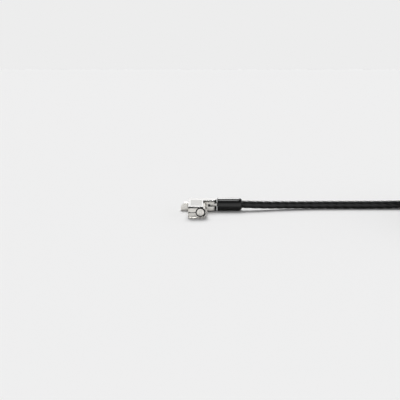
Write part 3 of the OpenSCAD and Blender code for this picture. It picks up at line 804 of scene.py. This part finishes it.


# A metal is given as its dull and bright colours, the paler colour painted on its edges as wear and
# as a painted highlight, roughness, marks, and the spacing and depth of the marks. A moulded one as
# its colour and its lighter colour, roughness, index of refraction, and the size and depth of its
# grain.
finishes = {
    # Zinc die casting, tumbled and plated in satin nickel: slightly warm, soft grain, pale edges
    # that are partly wear and partly a painted highlight.
    "nickel_zinc": metal(
        "tumbled_satin_nickel", "#D6D3CD", "#EAE8E3", "#FAF9F7", 0.25, "grain", 0.3, 0.008,
        edge_mm=0.25,
    ),
    # Stamped cover, brushed and plated: the palest face of the lock. A paler border round its
    # greyer panel is a painted highlight
    #     along its edges, and its upright sides are painted dark as painted shade.
    "pale_satin_metal": metal(
        "brushed_satin_nickel", "#C4C3C0", "#D3D2CF", "#FCFCFB", 0.15, "lines_x", 0.2, 0.003,
        edge_mm=0.12, upright_shade="#353433", border_highlight="#F4F3F1",
    ),
    # Turned brass plug, nickel plated: fine rings round its axis.
    "plug_nickel": metal(
        "turned_nickel", "#E6E3DD", "#F2F0EB", "#FAF9F7", 0.24, "turned", 0.3, 0.01,
        cloud_mm=3,
    ),
    # Hardened steel, ground flat: straight fine lines and a cold grey.
    "hard_steel": metal(
        "ground_hard_steel", "#A2A3A6", "#B6B7B9", "#DDDEDF", 0.3, "lines_y", 0.15, 0.008,
    ),
    # Hardened steel jaws, plated after grinding: smoother than the bare steel inside.
    "jaw_steel": metal(
        "plated_jaw_steel", "#ABACAE", "#BEBEBF", "#E6E6E6", 0.26, "lines_y", 0.2, 0.006,
    ),
    # Turned link, nickel plated: bright, with upright marks along its tongue.
    "link_steel": metal(
        "plated_link_steel", "#C6C4C0", "#DAD8D4", "#F6F5F3", 0.24, "lines_z", 0.25, 0.006,
    ),
    # Black oxide on hardened steel: nearly black, a little brown where it is rubbed. Where it lines
    # the ring round the plug, its near-black also stands in for the shade there: painted shade.
    "dark_steel": metal(
        "black_oxide_steel_and_ring_shade", "#2B2A2A", "#3A3838", "#6A6662", 0.38, "grain", 0.25, 0.008,
    ),
    # Drawn spring wire: a fine grain and a faint blue temper.
    "spring_steel": metal(
        "drawn_spring_wire", "#9A9DA3", "#B0B2B7", "#D5D6D9", 0.25, "grain", 0.15, 0.004,
        cloud_mm=2, edge_mm=0.05,
    ),
    # Galvanised strand, stripped of its jacket: dull zinc with bright wire crowns.
    "wire_steel": metal(
        "galvanised_strand", "#8C8D8F", "#A9AAAC", "#C9CACB", 0.42, "lines_x", 0.5, 0.05,
    ),
    # Stamped brass: warm yellow that has dulled in patches.
    "brass": metal(
        "stamped_brass", "#B08A45", "#CDA760", "#E9CE93", 0.3, "grain", 0.2, 0.006,
        cloud_mm=3,
    ),
    # Drawn aluminium sleeve, pressed onto the cable: light grey, matt, with rubbed crowns.
    "ferrule_aluminium": metal(
        "pressed_aluminium", "#B4B5B6", "#CBCCCD", "#E8E9E9", 0.36, "grain", 0.35, 0.015,
    ),
    # Moulded rubber pad: matt black, dusty where it is handled.
    "pad_rubber": moulded("moulded_rubber", "#1C1C1C", "#333232", 0.7, 1.52, 0.3, 0.02),
    # Glossy black nylon moulding over the swivel: a deep, nearly mirror-smooth skin.
    "black_collar": moulded(
        "gloss_black_nylon", "#0A0A0B", "#17171A", 0.2, 1.53, 0.8, 0.002, coat=0.1,
    ),
    # Thin black vinyl jacket drawn over the strands: smooth, a little waxy, greyer in patches.
    "cable_jacket": moulded("vinyl_cable_jacket", "#0D0D0E", "#232324", 0.3, 1.5, 0.5, 0.008),
    # Hook and loop tape, woven of nylon: matt black with a greyer weave. The real weave is 0.2 mm
    # a thread. It is drawn at 0.4 mm, so that it shows.
    "tie_fabric": woven_tape("woven_nylon_tape", "#151516", "#2C2C2E", 0.4),
}

for row in frame["record"]["subparts"]:
    surface = frame["nodes"][row["node"]].data.materials
    surface.clear()
    surface.append(finishes[row["material_slot"]])
for piece in (cable, sleeve, strap_far, strap_near, shutter_coil):
    piece.data.materials.append(finishes[piece["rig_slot"]])

# ---------------------------------------------------------------- broken edges

# Cast edges are rounder than stamped or ground ones. Widths are millimetres.
EDGE_WIDTHS = {
    "body_lower": 0.14, "body_upper": 0.1, "top_cover": 0.16, "nose_block": 0.12,
    "collar": 0.1, "plug_core": 0.08, "guard_ring": 0.05, "jaw_left": 0.1, "jaw_right": 0.1,
    "nose_plate": 0.05, "contact_pad": 0.06, "swivel_link": 0.06, "keyway_shutter": 0.06,
    "locking_blade": 0.05, "face_cam": 0.05, "swivel_pin": 0.06, "rear_screws": 0.05,
    "dowel_pins": 0.06, "crimp_ferrule": 0.1, "thrust_washer": 0.04,
}
SAME_POINT = 0.001 * MM
EDGE_SEGMENTS = 2
SHARP_FROM = math.radians(28)


def soften_edges(node, width_mm):
    part = frame["nodes"][node]
    weld = part.modifiers.new("joined_faces", "WELD")
    weld.merge_threshold = SAME_POINT
    bevel = part.modifiers.new("broken_edges", "BEVEL")
    bevel.width = width_mm * MM
    bevel.segments = EDGE_SEGMENTS
    bevel.limit_method = "ANGLE"
    bevel.angle_limit = SHARP_FROM
    bevel.use_clamp_overlap = True
    shading = part.modifiers.new("even_shading", "WEIGHTED_NORMAL")
    shading.keep_sharp = False


for node, width in EDGE_WIDTHS.items():
    soften_edges(node, width)

# ---------------------------------------------------------------- floor and light

FLOOR_HALF = 6.0
FLOOR_COLOUR = "#EDEDED"

# A wide soft lamp behind the bench and a small one above it. Each has the direction towards it,
# its width in degrees and its strength.
LAMPS = (
    ("soft_behind", (-0.1, 1.05, 1), 38, 2.51),
    ("strip_above", (0, -0.13, 1), 14, 0.32),
)

# The room is pale behind the bench and low down, and dark high in front. The limits are parts of a
# direction: how far it points back, and how far up.
ROOM_PALE, ROOM_DARK = "#EDEDED", "#303032"
BACK_DARK, BACK_PALE = 0.05, 0.75
UP_DARK, UP_PALE = 0.86, 0.1


def make_floor():
    corners = [(x * FLOOR_HALF, y * FLOOR_HALF, 0) for x, y in ((-1, -1), (1, -1), (1, 1), (-1, 1))]
    mesh = bpy.data.meshes.new("bench_floor")
    mesh.from_pydata(corners, [], [(0, 1, 2, 3)])
    floor = bpy.data.objects.new("bench_floor", mesh)
    bpy.context.scene.collection.objects.link(floor)
    # Pale matt paper: even, without grain at this distance.
    material, tree = new_material("pale_paper_floor")
    paper = add(tree, "ShaderNodeBsdfDiffuse", {}, {"Color": linear(FLOOR_COLOUR)})
    finish_surface(tree, paper)
    mesh.materials.append(material)


def make_lamps():
    for name, towards, width_degrees, energy in LAMPS:
        lamp = bpy.data.lights.new(name, "SUN")
        lamp.energy = energy
        lamp.angle = math.radians(width_degrees)
        place = bpy.data.objects.new(name, lamp)
        place.rotation_euler = Vector(towards).to_track_quat("Z", "Y").to_euler()
        bpy.context.scene.collection.objects.link(place)


def make_room():
    room = bpy.data.worlds.new("pale_room")
    room.use_nodes = True
    tree = room.node_tree
    tree.nodes.clear()
    direction = add(tree, "ShaderNodeTexCoord").outputs["Generated"]
    split = add(tree, "ShaderNodeSeparateXYZ", {}, {"Vector": direction})
    behind = spread(tree, split.outputs["Y"], BACK_DARK, BACK_PALE, ease="SMOOTHSTEP")
    low = spread(tree, split.outputs["Z"], UP_DARK, UP_PALE, ease="SMOOTHSTEP")
    pale = maths(tree, "MAXIMUM", behind, low)
    walls = mixed(tree, pale, linear(ROOM_DARK), linear(ROOM_PALE))
    light = add(tree, "ShaderNodeBackground", {}, {"Color": walls, "Strength": 1.0})
    add(tree, "ShaderNodeOutputWorld", inputs={"Surface": light.outputs[0]})
    bpy.context.scene.world = room


make_floor()
make_lamps()
make_room()
bpy.context.scene.view_settings.view_transform = "Standard"
